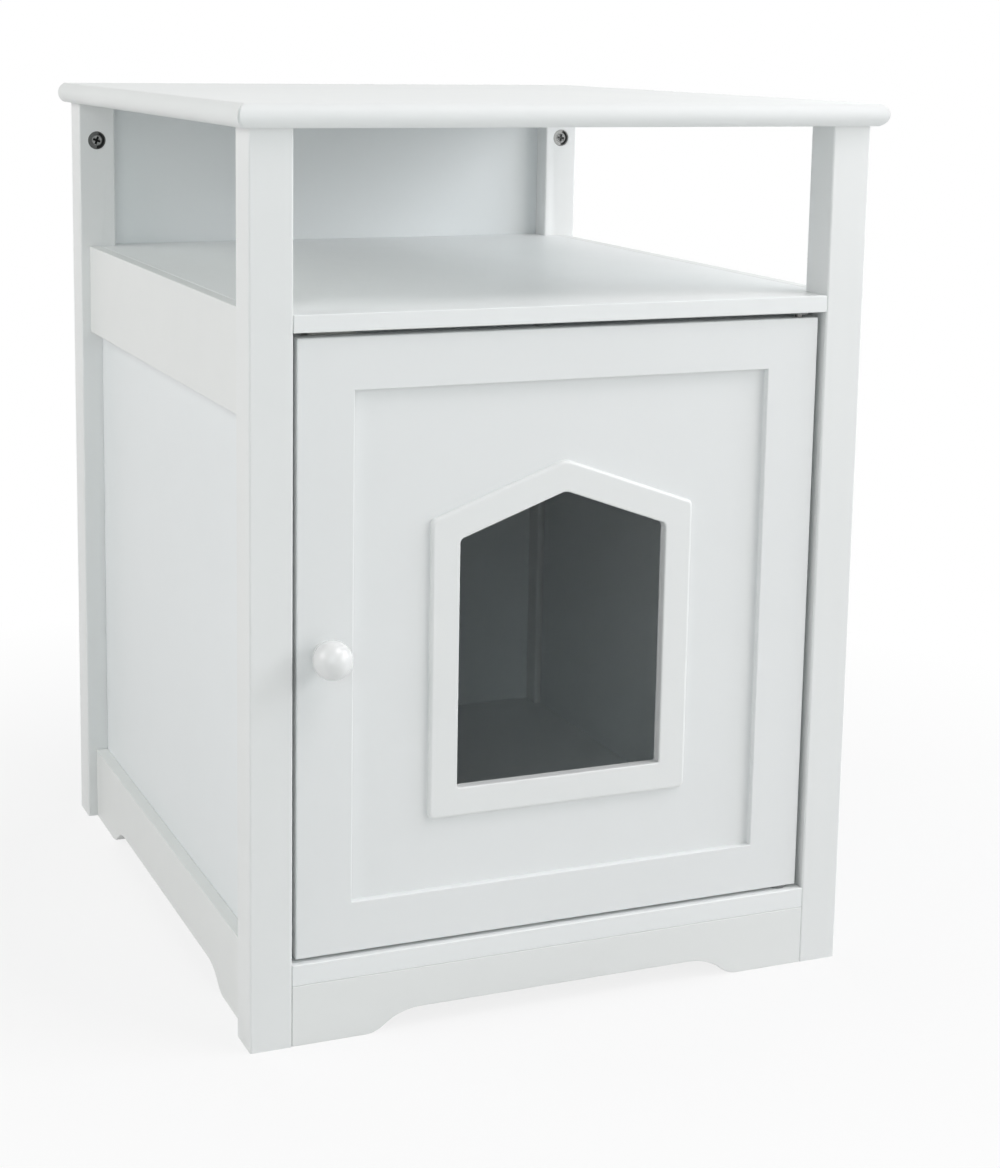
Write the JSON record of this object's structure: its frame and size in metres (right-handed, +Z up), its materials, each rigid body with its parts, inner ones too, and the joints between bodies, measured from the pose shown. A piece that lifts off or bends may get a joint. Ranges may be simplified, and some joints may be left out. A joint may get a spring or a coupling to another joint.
{
  "type": "cat litter box cabinet",
  "caption": "White cat litter box cabinet on square legs: open bay under the top board, and below it a closed cabinet whose hinged panelled door has a house-shaped cat opening and a knob.",
  "frame": {"origin": "on the floor, midway between the left and right edges of the top board and between its back edge and the crown of the knob", "axes": "+X to the cabinet's right seen from the front, +Y to the back, +Z up; the door faces -Y"},
  "size_m": [0.48, 0.545, 0.64],
  "materials": {
    "white_board": "white satin lacquer on fibreboard",
    "white_plastic": "white satin moulded plastic",
    "white_knob": "white gloss",
    "zinc": "dull die-cast zinc",
    "steel": "bright zinc plate",
    "nylon": "white nylon",
    "ferrite": "dark ferrite",
    "beech": "fluted beech"
  },
  "bodies": {
    "cabinet": {"apron_back": "white_board", "apron_dowels": "beech", "apron_front": "white_board", "back_panel_lower": "white_board", "back_panel_upper": "white_board", "board_dowels": "beech", "bottom_board": "white_board", "cam_bolts": "steel", "cam_locks": "zinc", "catch_housing": "nylon", "catch_magnet": "ferrite", "catch_pole_plates": "steel", "catch_screws": "steel", "leg_back_left": "white_board", "leg_back_right": "white_board", "leg_front_left": "white_board", "leg_front_right": "white_board", "lower_rail_left": "white_board", "lower_rail_right": "white_board", "panel_nails": "steel", "pivot_bushes": "nylon", "rail_dowels": "beech", "shelf_board": "white_board", "side_panel_left": "white_board", "side_panel_right": "white_board", "top_board": "white_board", "top_dowels": "beech", "upper_rail_left": "white_board", "upper_rail_right": "white_board"},
    "door": {"door_frame": "white_board", "door_panel": "white_board", "opening_trim": "white_plastic", "panel_beads": "white_board", "door_knob": "white_knob", "knob_screw": "steel", "pivot_pins": "steel", "strike_plate": "steel", "strike_screw": "steel"}
  },
  "joints": [
    {"name": "door_hinge", "type": "hinge", "parent": "cabinet", "child": "door", "pos_m": [0.184, -0.236, 0.27435], "axis": [0, 0, 1], "range_deg": [0, 110]}
  ]
}
